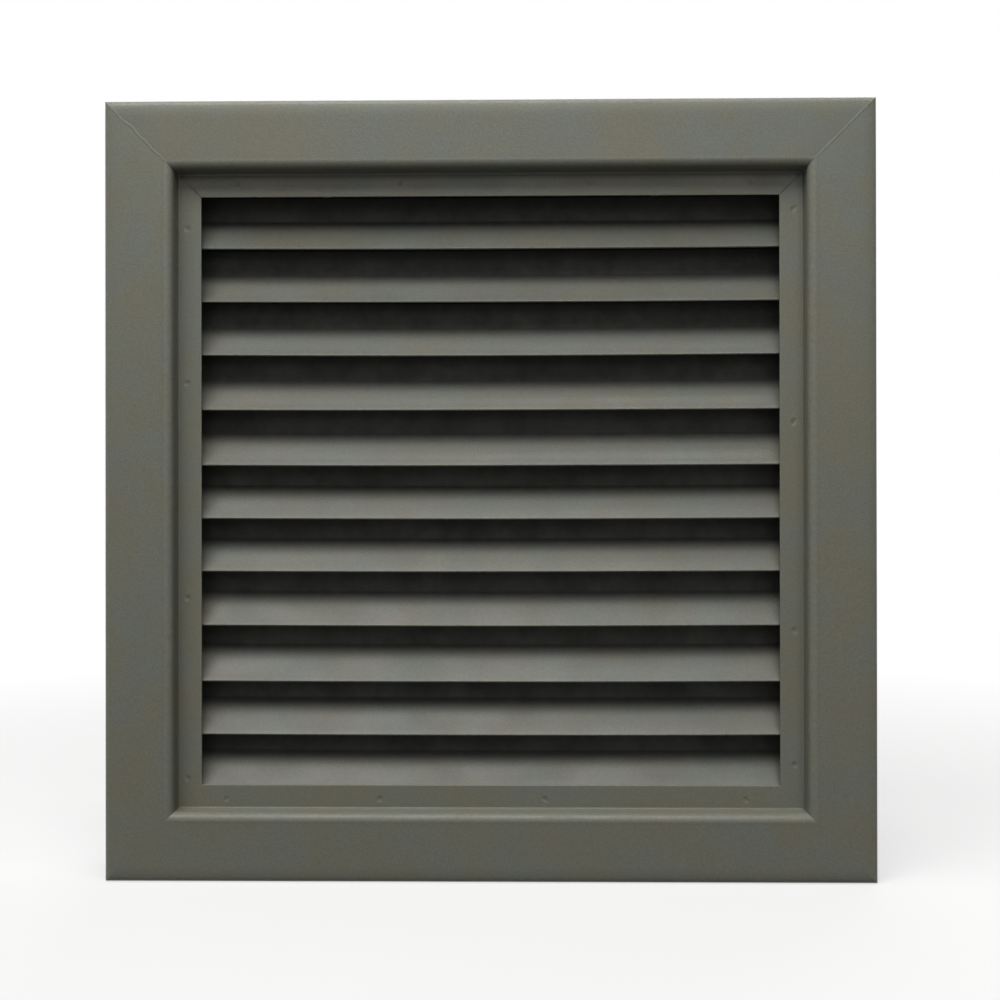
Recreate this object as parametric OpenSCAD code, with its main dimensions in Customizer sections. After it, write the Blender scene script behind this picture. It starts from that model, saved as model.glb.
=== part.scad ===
// Sheet steel door louver: a core of inverted Y blades between two mitred trim frames that clamp a door.
// Front faces -Y, up is +Z, and the origin is the middle of the opening at half the door's thickness.

/* [Door] */
// Thickness of the door between the two trims
door_t = 44.5; // [40:0.5:50]

/* [Opening] */
// Clear width between the side walls of the recess
opening_w = 294; // [200:1:600]
// Height from the clear opening's foot to the edge of the lowest blade
blade_foot = 9.6; // [8:0.1:14]
// Height from the edge of the top blade to the clear opening's head
blade_head = 35.4; // [32:0.1:45]

/* [Trim frames] */
// Sheet thickness of the trims
trim_t = 1.2; // [0.8:0.1:2]
// Width of the trim from the recess wall's face to its outer edge
flange_w = 32; // [20:1:50]
// Height of the flange face over the door's face
flange_rise = 4; // [4:0.1:8]
// Outside radius of the bend along the outer edge
rim_r = 3.2; // [2.5:0.1:4]
// Outside radius of the bend from the flange into the recess
nose_r = 3.6; // [2.5:0.1:6]
// Depth of the recess from the flange face to the lip
recess_d = 11; // [9:0.5:13]
// Width of the lip that frames the blades
lip_w = 11; // [9.5:0.1:16]
// Inside radius of the bend between the recess wall and the lip
lip_bend_r = 1; // [0.5:0.1:2]

/* [Spot welds] */
// Diameter of a spot weld's dimple at the lip's face
spot_d = 3.4; // [2.4:0.1:5]
// Diameter of the dimple's floor
spot_floor_d = 2.2; // [1:0.1:2.3]
// Depth of a spot weld's dimple
spot_depth = 0.3; // [0.1:0.05:0.5]
// Distance from the recess wall's face to the middle of a spot weld
spot_inset = 4.4; // [3.8:0.1:7]

/* [Core channels] */
// Sheet thickness of the core channels
core_t = 1.2; // [0.8:0.1:2]
// Distance that the core's flanges stop short of the lip's edge
core_setback = 0.6; // [0.2:0.1:2]
// Inside radius of the core channels' bends
core_bend_r = 1; // [0.5:0.1:2]

/* [Blades] */
// Sheet thickness of the blades
blade_t = 1; // [0.6:0.1:1.5]
// Height from one blade to the next
blade_pitch = 25.4; // [24:0.1:32]
// Angle of the blade's legs from level
leg_angle = 54; // [48:1:58]
// Angle by which the lower edge of a leg flares out from the leg
flare_angle = 9; // [3:1:15]
// Radius of the flare along a leg's lower edge
flare_r = 35; // [20:1:40]
// Inside radius of the bend between a leg and the stem
stem_bend_r = 1.5; // [1:0.1:3]
// Height by which a blade's stem rises past the lower edges of the blade above
stem_lap = 2.6; // [1:0.1:4]
// Clearance from the edges of a blade to the core's flanges
blade_gap = 0.35; // [0.3:0.05:1]

/* [Trim screws] */
// Thread diameter of the trim screws
screw_d = 4.2; // [3.5:0.1:4.8]
// Length of the trim screws under the head
screw_len = 9.5; // [8:0.5:12]
// Head diameter of the trim screws
head_d = 7.2; // [6.5:0.1:8]
// Head height of the trim screws
head_h = 2.4; // [2:0.1:3]
// Distance between the two screws in a level trim member
screw_spread = 160; // [80:1:180]
// Clearance round a screw in the trim's hole
hole_gap = 0.25; // [0.15:0.05:0.5]
// Clearance round a screw in the core's hole
thread_gap = 0.05; // [0.02:0.01:0.1]

/* [Hidden] */
$fn = 48;
blade_count = 11;

// Places of the blades and height of the opening
opening_h = (blade_count - 1) * blade_pitch + blade_foot + blade_head;
top_blade_z = opening_h / 2 - blade_head;

// Depths along Y from the middle of the door
face_y = door_t / 2 + flange_rise;
lip_y = face_y - recess_d;
core_y = lip_y - trim_t;
edge_y = core_y - core_t - blade_gap;

// Height above and below a member that its mitre cuts cover
mitre_reach = flange_w + lip_w;

// Width of the core channels' flanges
core_flange_w = lip_w - core_setback;

// Parts of a blade's leg, measured along the leg's upper face
edge_angle = leg_angle - flare_angle;
flare_run = flare_r * (sin(leg_angle) - sin(edge_angle));
flare_rise = flare_r * (cos(edge_angle) - cos(leg_angle));
leg_run = edge_y - blade_t - stem_bend_r * (1 - sin(leg_angle)) - flare_run;
leg_len = leg_run / cos(leg_angle);
edge_drop = blade_t * cos(edge_angle);
stem_foot = edge_drop + flare_rise + leg_len * sin(leg_angle) + stem_bend_r * cos(leg_angle);
stem_top = blade_pitch + stem_lap;

// Overlap of the blade's two plies, so that they join as one folded sheet
ply_lap = 0.1;
// Side of the key inside a sheet that joins a flat stretch to a bend, as a part of the sheet's thickness
key_share = 0.4;

// Places of the trim screws
screw_inset = lip_w / 2;
screw_lift = (stem_foot + blade_pitch) / 2;
upper_screw_blade = 3;
lower_screw_blade = 9;

// Places of the spot welds on each front lip, as parts of the lip's span from its middle: set by eye, so uneven
head_spots = [-0.405, -0.144, 0.16, 0.417];
sill_spots = [-0.422, -0.176, 0.088, 0.408];
left_spots = [-0.453, -0.169, 0.17, 0.414];
right_spots = [-0.43, -0.22, 0.107, 0.441];

// Cross recess in a screw's head
drive_w = 1.1;
drive_len = 4.4;
drive_depth = 1.3;

// Rounding at the rim of a screw's head
head_round = 0.9;

enamel = [0.43, 0.43, 0.38];
enamel_shade = [0.33, 0.33, 0.29];
zinc = [0.72, 0.72, 0.7];

// Height of a blade's lower edges, counted from the top
function blade_z(number) = top_blade_z - (number - 1) * blade_pitch;

// Places of the screws along a level trim member and along an upright one
level_screws = [-screw_spread / 2, screw_spread / 2];
upright_screws = [for (number = [lower_screw_blade, upper_screw_blade]) blade_z(number) + screw_lift];

// Bent strip of sheet in two dimensions, from one angle to another about the bend's centre
module bend(inner_r, thickness, from_angle, to_angle) {
    outer_r = inner_r + thickness;
    reach = 2 * outer_r;
    middle_angle = (from_angle + to_angle) / 2;
    intersection() {
        difference() {
            circle(r = outer_r);
            circle(r = inner_r);
        }
        polygon([
            [0, 0],
            reach * [cos(from_angle), sin(from_angle)],
            reach * [cos(middle_angle), sin(middle_angle)],
            reach * [cos(to_angle), sin(to_angle)]
        ]);
    }
}

// Key inside the sheet, drawn about the middle of the edge where a flat stretch and a bend meet
module key(x, y, thickness) {
    translate([x, y])
        square(key_share * thickness, center = true);
}

// Trim section: x is the depth behind the flange face, y is the distance outwards from the recess wall's face
module trim_section() {
    half_t = trim_t / 2;
    // Return along the outer edge
    translate([rim_r, flange_w - trim_t])
        square([flange_rise - rim_r, trim_t]);
    key(rim_r, flange_w - half_t, trim_t);
    translate([rim_r, flange_w - rim_r])
        bend(rim_r - trim_t, trim_t, 90, 180);
    key(half_t, flange_w - rim_r, trim_t);
    // Flange
    translate([0, nose_r])
        square([trim_t, flange_w - rim_r - nose_r]);
    // Rolled bend into the recess
    key(half_t, nose_r, trim_t);
    translate([nose_r, nose_r])
        bend(nose_r - trim_t, trim_t, 180, 270);
    key(nose_r, half_t, trim_t);
    // Wall of the recess
    translate([nose_r, 0])
        square([recess_d - lip_bend_r - nose_r, trim_t]);
    key(recess_d - lip_bend_r, half_t, trim_t);
    translate([recess_d - lip_bend_r, -lip_bend_r])
        bend(lip_bend_r, trim_t, 0, 90);
    key(recess_d + half_t, -lip_bend_r, trim_t);
    // Lip
    translate([recess_d, -lip_w])
        square([trim_t, lip_w - lip_bend_r]);
}

// Core channel section: x runs through the door, y is the distance outwards from the recess wall's face
module core_section() {
    flange_len = core_flange_w - core_bend_r;
    bend_x = core_y - core_t - core_bend_r;
    translate([-bend_x, 0])
        square([2 * bend_x, core_t]);
    for (side = [-1, 1]) {
        mirror([side < 0 ? 1 : 0, 0]) {
            key(bend_x, core_t / 2, core_t);
            translate([bend_x, -core_bend_r])
                bend(core_bend_r, core_t, 0, 90);
            key(core_y - core_t / 2, -core_bend_r, core_t);
            translate([core_y - core_t, -core_bend_r - flange_len])
                square([core_t, flange_len]);
        }
    }
}

// Front half of the blade section: x is the depth from the stem, y is the height over the blade's lower edges
module blade_half_section() {
    // Stem
    translate([-blade_t, stem_foot])
        square([blade_t + ply_lap, stem_top - blade_t - stem_foot]);
    key(-blade_t / 2, stem_foot, blade_t);
    // Leg, drawn level from the stem's bend to the flare and then turned to its slope
    translate([-blade_t - stem_bend_r, stem_foot])
        rotate(leg_angle - 180)
            translate([0, stem_bend_r])
                leg_section();
}

// Leg of a blade: x runs from the stem's bend to the lower edge, and the upper face lies at y = 0
module leg_section() {
    translate([0, -stem_bend_r])
        bend(stem_bend_r, blade_t, 90, 180 - leg_angle);
    key(0, blade_t / 2, blade_t);
    square([leg_len, blade_t]);
    key(leg_len, blade_t / 2, blade_t);
    translate([leg_len, -flare_r])
        bend(flare_r, blade_t, 90, 90 - flare_angle);
}

module blade_section() {
    blade_half_section();
    mirror([1, 0])
        blade_half_section();
    translate([0, stem_top - blade_t])
        circle(r = blade_t);
}

// Extrudes a section along X, so that the section's x lies along Y and its y along Z
module along_x(length) {
    translate([-length / 2, 0, 0])
        rotate([90, 0, 90])
            linear_extrude(height = length)
                children();
}

// Trapezoid seen from the front that cuts a member's ends at 45 degrees, larger all round than the member
module mitre_cut(span) {
    inner = span / 2 - mitre_reach;
    outer = span / 2 + mitre_reach;
    rotate([90, 0, 0])
        linear_extrude(height = 2 * door_t, center = true)
            polygon([
                [-inner, -mitre_reach],
                [inner, -mitre_reach],
                [outer, mitre_reach],
                [-outer, mitre_reach]
            ]);
}

// Level trim member over an opening of the given span, lying with its recess wall's face at height 0
module trim_member(span, screws, spots) {
    intersection() {
        difference() {
            translate([0, -face_y, 0])
                along_x(span + 2 * mitre_reach)
                    trim_section();
            for (x = screws)
                translate([x, -lip_y, -screw_inset])
                    rotate([90, 0, 0])
                        cylinder(d = screw_d + 2 * hole_gap, h = 3 * trim_t, center = true);
            for (x = spots)
                spot_dimple(x);
        }
        mitre_cut(span);
    }
}

// Shallow dimple of one spot weld in the front face of a lip
module spot_dimple(x) {
    translate([x, -lip_y + spot_depth, -spot_inset])
        rotate([90, 0, 0])
            cylinder(d1 = spot_floor_d, d2 = 2 * spot_d - spot_floor_d, h = 2 * spot_depth);
}

// Level core channel over an opening of the given span, with holes in its rear flange for the trim screws
module core_member(span, screws) {
    intersection() {
        difference() {
            along_x(span + 2 * mitre_reach)
                core_section();
            for (x = screws)
                translate([x, core_y - core_t / 2, -screw_inset])
                    rotate([90, 0, 0])
                        cylinder(d = screw_d + 2 * thread_gap, h = 2 * core_t, center = true);
        }
        mitre_cut(span);
    }
}

// Turns a level member at height 0 to its side of the opening
module at_head() {
    translate([0, 0, opening_h / 2])
        children();
}

module at_sill() {
    mirror([0, 0, 1])
        at_head()
            children();
}

module at_right() {
    translate([opening_w / 2, 0, 0])
        rotate([0, 90, 0])
            mirror([1, 0, 0])
                children();
}

module at_left() {
    mirror([1, 0, 0])
        at_right()
            children();
}

module front_trim(span, spots) {
    color(enamel)
        trim_member(span, [], span * spots);
}

module rear_trim(span, screws) {
    color(enamel)
        mirror([0, 1, 0])
            trim_member(span, screws, []);
}

module core(span, screws) {
    color(enamel_shade)
        core_member(span, screws);
}

// Plan of a blade, with its corners cut to clear the bends of the core
module blade_plan() {
    half_w = opening_w / 2;
    cut_w = half_w - core_bend_r;
    cut_y = edge_y - core_bend_r;
    linear_extrude(height = stem_top)
        polygon([
            [-cut_w, -edge_y], [cut_w, -edge_y], [half_w, -cut_y], [half_w, cut_y],
            [cut_w, edge_y], [-cut_w, edge_y], [-half_w, cut_y], [-half_w, -cut_y]
        ]);
}

module blade(number) {
    color(enamel)
        translate([0, 0, blade_z(number)])
            intersection() {
                along_x(opening_w)
                    blade_section();
                blade_plan();
            }
}

// Pan head screw that points along -Y from the rear lip, with its head's seat at y = 0
module screw() {
    rotate([-90, 0, 0]) {
        difference() {
            union() {
                cylinder(d = head_d, h = head_h - head_round);
                translate([0, 0, head_h - head_round])
                    cylinder(d1 = head_d, d2 = head_d - 2 * head_round, h = head_round);
            }
            for (angle = [0, 90])
                rotate(angle)
                    translate([-drive_len / 2, -drive_w / 2, head_h - drive_depth])
                        cube([drive_len, drive_w, 2 * drive_depth]);
        }
        translate([0, 0, -screw_len])
            cylinder(d = screw_d, h = screw_len);
    }
}

// Screws of one level member
module screw_row(screws) {
    for (x = screws)
        translate([x, lip_y, -screw_inset])
            screw();
}

module trim_screws() {
    color(zinc) {
        at_head()
            screw_row(level_screws);
        at_sill()
            screw_row(level_screws);
        at_left()
            screw_row(upright_screws);
        at_right()
            screw_row(upright_screws);
    }
}

at_head() front_trim(opening_w, head_spots);  // front_trim_head
at_sill() front_trim(opening_w, sill_spots);  // front_trim_sill
at_left() front_trim(opening_h, left_spots);  // front_trim_left
at_right() front_trim(opening_h, right_spots);  // front_trim_right
at_head() rear_trim(opening_w, level_screws);  // rear_trim_head
at_sill() rear_trim(opening_w, level_screws);  // rear_trim_sill
at_left() rear_trim(opening_h, upright_screws);  // rear_trim_left
at_right() rear_trim(opening_h, upright_screws);  // rear_trim_right
at_head() core(opening_w, level_screws);  // core_head
at_sill() core(opening_w, level_screws);  // core_sill
at_left() core(opening_h, upright_screws);  // core_left
at_right() core(opening_h, upright_screws);  // core_right
blade(1);  // blade_01
blade(2);  // blade_02
blade(3);  // blade_03
blade(4);  // blade_04
blade(5);  // blade_05
blade(6);  // blade_06
blade(7);  // blade_07
blade(8);  // blade_08
blade(9);  // blade_09
blade(10);  // blade_10
blade(11);  // blade_11
trim_screws();
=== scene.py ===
"""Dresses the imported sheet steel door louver: bent trims, core channels, folded blades, screws and enamel.

The front faces -Y and up is +Z. Lengths are in metres, and a section is drawn in two dimensions before it is
carried along a piece.
"""

import logging
import math
from collections.abc import Callable
from dataclasses import dataclass, field
from enum import Enum

import bmesh
import bpy
import numpy as np
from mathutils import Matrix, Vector


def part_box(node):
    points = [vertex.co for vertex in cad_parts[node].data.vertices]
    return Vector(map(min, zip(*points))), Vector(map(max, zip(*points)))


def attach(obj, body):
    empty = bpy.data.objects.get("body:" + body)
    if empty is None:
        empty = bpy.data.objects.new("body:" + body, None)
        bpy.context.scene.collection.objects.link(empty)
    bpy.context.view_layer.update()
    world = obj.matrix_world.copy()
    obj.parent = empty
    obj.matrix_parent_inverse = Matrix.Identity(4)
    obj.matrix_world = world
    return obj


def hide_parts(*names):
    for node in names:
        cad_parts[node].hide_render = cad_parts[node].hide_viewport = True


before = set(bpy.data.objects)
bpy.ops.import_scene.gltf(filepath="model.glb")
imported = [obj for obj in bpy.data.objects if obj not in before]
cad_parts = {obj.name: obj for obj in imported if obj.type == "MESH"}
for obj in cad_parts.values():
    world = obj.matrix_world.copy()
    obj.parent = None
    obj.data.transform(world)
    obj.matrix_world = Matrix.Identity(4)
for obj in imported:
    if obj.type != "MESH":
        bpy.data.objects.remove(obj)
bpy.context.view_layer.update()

LOG = logging.getLogger("door_louver")
BODY = "root"
MM = 0.001
SMOOTH_ANGLE = math.radians(38)
# Mask of crowns and cut edges, where the coat is lightened as wear and painted highlight.
CROWN = "crown"
# Mask of inner corners and deep places, where the finishes paint shade.
NOOK = "nook"

Colour = tuple[float, float, float]
Placer = Callable[[np.ndarray, np.ndarray, np.ndarray], np.ndarray]


class Side(Enum):
    """Side of the opening that a member closes."""

    HEAD = "head"
    SILL = "sill"
    LEFT = "left"
    RIGHT = "right"

    @property
    def level(self) -> bool:
        """Whether a member on this side lies level."""
        return self in (Side.HEAD, Side.SILL)


class Face(Enum):
    """Face of the door that a trim lies on; the value is the way it faces along Y."""

    FRONT = -1
    REAR = 1


class Rays(Enum):
    """Kinds of ray that see the plain white surroundings."""

    CAMERA = "Is Camera Ray"
    GLOSSY = "Is Glossy Ray"
    TRANSMISSION = "Is Transmission Ray"


# Sections of bent sheet


@dataclass(frozen=True)
class Strip:
    """Section of a bent sheet, sampled along its middle line.

    Each of crown and nook has one column for the left side of the line and one for the right.
    """

    middle: np.ndarray
    normal: np.ndarray
    half: np.ndarray
    crown: np.ndarray
    nook: np.ndarray

    def ring(self) -> np.ndarray:
        """Corners of the closed section: the left side forwards, then the right side backwards."""
        offset = self.normal * self.half[:, None]
        return np.concatenate([self.middle + offset, (self.middle - offset)[::-1]])

    def ring_masks(self) -> dict[str, np.ndarray]:
        """Wear masks of the ring's corners, by name."""
        return {
            name: np.concatenate([mask[:, 0], mask[::-1, 1]])
            for name, mask in ((CROWN, self.crown), (NOOK, self.nook))
        }


class SheetPen:
    """Pen that draws a bent sheet's middle line, one flat run or bend after another."""

    bend_step = math.radians(9)
    sharp_radius = 4 * MM

    def __init__(self, start: tuple[float, float], heading: float, thickness: float) -> None:
        """Puts the pen down.

        Args:
            start: First point of the middle line.
            heading: Direction of the first run in degrees.
            thickness: Thickness of the sheet.
        """
        self.thickness = thickness
        self.points = [np.array(start, float)]
        self.headings = [math.radians(heading)]
        self.bends = [0.0]

    def run(self, length: float, step: float) -> "SheetPen":
        """Draws a flat run.

        Args:
            length: Length of the run.
            step: Greatest distance between two samples.

        Returns:
            The pen itself.
        """
        heading = self.headings[-1]
        start = self.points[-1]
        way = np.array([math.cos(heading), math.sin(heading)])
        count = max(1, math.ceil(length / step))
        for number in range(1, count + 1):
            self.points.append(start + way * length * number / count)
            self.headings.append(heading)
            self.bends.append(0.0)
        return self

    def turn(self, angle: float, inner_radius: float) -> "SheetPen":
        """Draws a bend.

        Args:
            angle: Angle of the bend in degrees, positive to the left.
            inner_radius: Radius of the bend's inner face.

        Returns:
            The pen itself.
        """
        heading = self.headings[-1]
        side = math.copysign(1.0, angle)
        radius = inner_radius + self.thickness / 2
        centre = self.points[-1] + side * radius * np.array([-math.sin(heading), math.cos(heading)])
        count = max(3, math.ceil(math.radians(abs(angle)) / self.bend_step))
        mark = side * min(1.0, self.sharp_radius / radius)
        self.bends[-1] = mark / 2
        for number in range(1, count + 1):
            turned = heading + math.radians(angle) * number / count
            out = np.array([math.sin(turned), -math.cos(turned)])
            self.points.append(centre + side * radius * out)
            self.headings.append(turned)
            self.bends.append(mark if number < count else mark / 2)
        return self

    def shift(self, x: float, y: float) -> "SheetPen":
        """Moves all that is drawn, and returns the pen."""
        self.points = [point + np.array([x, y]) for point in self.points]
        return self

    def strip(self, edge_round: float) -> Strip:
        """Gives the sheet its thickness, with its two cut edges rounded.

        Args:
            edge_round: Radius at the corners of the cut edges.

        Returns:
            The section of the sheet.
        """
        points = np.array(self.points)
        along = np.concatenate([[0.0], np.cumsum(np.linalg.norm(np.diff(points, axis=0), axis=1))])
        length = along[-1]
        arc = np.radians([0.0, 30.0, 60.0, 90.0])
        near = edge_round * (1 - np.cos(arc))
        kept = along[(along > edge_round * 1.05) & (along < length - edge_round * 1.05)]
        places = np.unique(np.concatenate([near, kept, length - near]))
        heading = np.interp(places, along, self.headings)
        bend = np.interp(places, along, self.bends)
        to_edge = np.clip(np.minimum(places, length - places), 0.0, edge_round)
        rounding = np.sqrt(edge_round**2 - (edge_round - to_edge) ** 2)
        cut = np.exp(-(np.minimum(places, length - places) / (3 * edge_round)) ** 2)
        left, right = np.clip(-bend, 0, 1), np.clip(bend, 0, 1)
        return Strip(
            middle=np.stack([np.interp(places, along, points[:, k]) for k in (0, 1)], axis=1),
            normal=np.stack([-np.sin(heading), np.cos(heading)], axis=1),
            half=self.thickness / 2 - edge_round + rounding,
            crown=np.stack([np.maximum(left, cut), np.maximum(right, cut)], axis=1),
            nook=np.stack([right, left], axis=1),
        )


# Meshes


def finish_mesh(name: str, mesh: bpy.types.Mesh) -> bpy.types.Object:
    """Makes a shown object of a mesh, with its faces turned outwards and shaded smooth up to its corners.

    Args:
        name: Name of the object.
        mesh: Its mesh.

    Returns:
        The new object.
    """
    work = bmesh.new()
    work.from_mesh(mesh)
    bmesh.ops.recalc_face_normals(work, faces=work.faces)
    work.to_mesh(mesh)
    work.free()
    mesh.shade_smooth()
    mesh.set_sharp_from_angle(angle=SMOOTH_ANGLE)
    piece = bpy.data.objects.new(name, mesh)
    bpy.context.scene.collection.objects.link(piece)
    return piece


def set_mask(mesh: bpy.types.Mesh, name: str, values: np.ndarray) -> None:
    """Stores one number for each corner point of a mesh under a name that the finishes read."""
    layer = mesh.attributes.new(name, "FLOAT", "POINT")
    layer.data.foreach_set("value", values.astype(np.float32))


def sweep(name: str, strip: Strip, stations: np.ndarray, place: Placer) -> bpy.types.Object:
    """Carries a strip's section along a piece and closes both ends.

    Args:
        name: Name of the piece.
        strip: Section of the sheet.
        stations: Places along the piece, from -1 at one end to 1 at the other.
        place: Turns stations and the two section coordinates into points.

    Returns:
        The new piece.
    """
    ring = strip.ring()
    around, count = len(ring), len(stations)
    points = place(stations[:, None], ring[None, :, 0], ring[None, :, 1]).reshape(-1, 3)
    rows = np.arange(count - 1)[:, None] * around
    here = np.arange(around)[None, :]
    ahead = np.roll(np.arange(around), -1)[None, :]
    skin = np.stack([rows + here, rows + ahead, rows + around + ahead, rows + around + here], axis=-1)
    steps = np.arange(len(strip.middle) - 1)
    end = np.stack([steps, steps + 1, around - 2 - steps, around - 1 - steps], axis=-1)
    faces = np.concatenate([skin.reshape(-1, 4), end, end + (count - 1) * around])
    mesh = bpy.data.meshes.new(name)
    mesh.from_pydata(points.tolist(), [], faces.tolist())
    for mask, values in strip.ring_masks().items():
        set_mask(mesh, mask, np.tile(values, count))
    return finish_mesh(name, mesh)


def lathe(name: str, profile: list[tuple[float, float]], around: int) -> bpy.types.Object:
    """Turns a profile about the Z axis.

    Args:
        name: Name of the piece.
        profile: Radius and height of each corner, from the axis at one end to the axis at the other.
        around: Number of corners around the axis.

    Returns:
        The new piece.
    """
    work = bmesh.new()
    corners = [work.verts.new((radius, 0.0, height)) for radius, height in profile]
    edges = [work.edges.new(pair) for pair in zip(corners, corners[1:])]
    bmesh.ops.spin(
        work, geom=corners + edges, cent=(0, 0, 0), axis=(0, 0, 1), angle=2 * math.pi, steps=around,
        use_merge=True,
    )
    bmesh.ops.remove_doubles(work, verts=work.verts, dist=MM / 1000)
    mesh = bpy.data.meshes.new(name)
    work.to_mesh(mesh)
    work.free()
    return finish_mesh(name, mesh)


def cut_away(piece: bpy.types.Object, cutters: list[bpy.types.Object]) -> None:
    """Cuts the cutters' shapes out of a piece and deletes the cutters.

    Args:
        piece: Piece that is cut.
        cutters: Objects whose shapes are cut out.
    """
    for cutter in cutters:
        cut = piece.modifiers.new("cut", "BOOLEAN")
        cut.operation = "DIFFERENCE"
        cut.solver = "EXACT"
        cut.object = cutter
    bpy.context.view_layer.update()
    seen = piece.evaluated_get(bpy.context.evaluated_depsgraph_get())
    piece.modifiers.clear()
    piece.data = bpy.data.meshes.new_from_object(seen)
    piece.data.set_sharp_from_angle(angle=SMOOTH_ANGLE)
    for cutter in cutters:
        bpy.data.objects.remove(cutter)


def ripple(x: np.ndarray, z: np.ndarray, seed: int, reach: float) -> np.ndarray:
    """Gentle unevenness of hand-worked sheet, from -1 to 1.

    Args:
        x: First coordinates.
        z: Second coordinates.
        seed: Seed of the pattern.
        reach: Shortest wave length.

    Returns:
        The unevenness at each point.
    """
    draw = np.random.default_rng(seed)
    total = np.zeros(np.broadcast(x, z).shape)
    waves = 7
    for _ in range(waves):
        angle, phase = draw.uniform(0, 2 * math.pi, 2)
        wave = reach * draw.uniform(1.0, 3.0)
        total = total + np.sin((x * math.cos(angle) + z * math.sin(angle)) * 2 * math.pi / wave + phase)
    return total / waves


# Sizes that the pieces share


@dataclass(frozen=True)
class Opening:
    """Clear opening between the recess walls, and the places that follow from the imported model."""

    trim_lip: float = 11.0 * MM

    @property
    def outer(self) -> tuple[Vector, Vector]:
        """Lowest and highest corner of the whole louver."""
        low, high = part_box("front_trim_left")
        return Vector((low.x, low.y, low.z)), Vector((-low.x, -low.y, high.z))

    @property
    def width(self) -> float:
        """Clear width between the recess walls."""
        return 2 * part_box("blade_01")[1].x

    @property
    def height(self) -> float:
        """Clear height between the recess walls."""
        return 2 * (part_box("front_trim_head")[0].z + self.trim_lip)

    @property
    def flange(self) -> float:
        """Width of the trim outside the recess walls."""
        return self.outer[1].x - self.width / 2

    @property
    def face(self) -> float:
        """Distance of the flanges' faces from the middle of the door."""
        return self.outer[1].y

    def span(self, side: Side) -> float:
        """Clear span of the member on one side."""
        return self.width if side.level else self.height

    def point(self, side: Side, along: np.ndarray, out: np.ndarray, through: np.ndarray) -> np.ndarray:
        """Places a point of a member.

        Args:
            side: Side that the member closes.
            along: Distance from the member's middle, to the right or upwards.
            out: Distance outwards from the recess wall's face.
            through: Place along Y.

        Returns:
            Points with X, Y and Z in the last axis.
        """
        along, out, through = np.broadcast_arrays(along, out, through)
        if side is Side.HEAD:
            return np.stack([along, through, self.height / 2 + out], axis=-1)
        if side is Side.SILL:
            return np.stack([along, through, -self.height / 2 - out], axis=-1)
        if side is Side.RIGHT:
            return np.stack([self.width / 2 + out, through, along], axis=-1)
        return np.stack([-self.width / 2 - out, through, along], axis=-1)


OPENING = Opening()


@dataclass(frozen=True)
class ScrewPlan:
    """Places of the trim screws along the members of the rear trim."""

    spread: float = 160 * MM
    inset: float = OPENING.trim_lip / 2
    hole: float = 4.7 * MM
    thread_hole: float = 4.3 * MM
    stem_foot: float = 16.29 * MM
    lower_blade: str = "blade_09"
    upper_blade: str = "blade_03"
    pitch: float = 25.4 * MM

    def places(self, side: Side) -> list[float]:
        """Places of the screws along the member on one side.

        Args:
            side: Side that the member closes.

        Returns:
            Distances from the member's middle.
        """
        if side.level:
            return [-self.spread / 2, self.spread / 2]
        lift = (self.stem_foot + self.pitch) / 2
        return [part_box(blade)[0].z + lift for blade in (self.lower_blade, self.upper_blade)]


SCREWS = ScrewPlan()


# Effects that more than one finish uses


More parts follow.
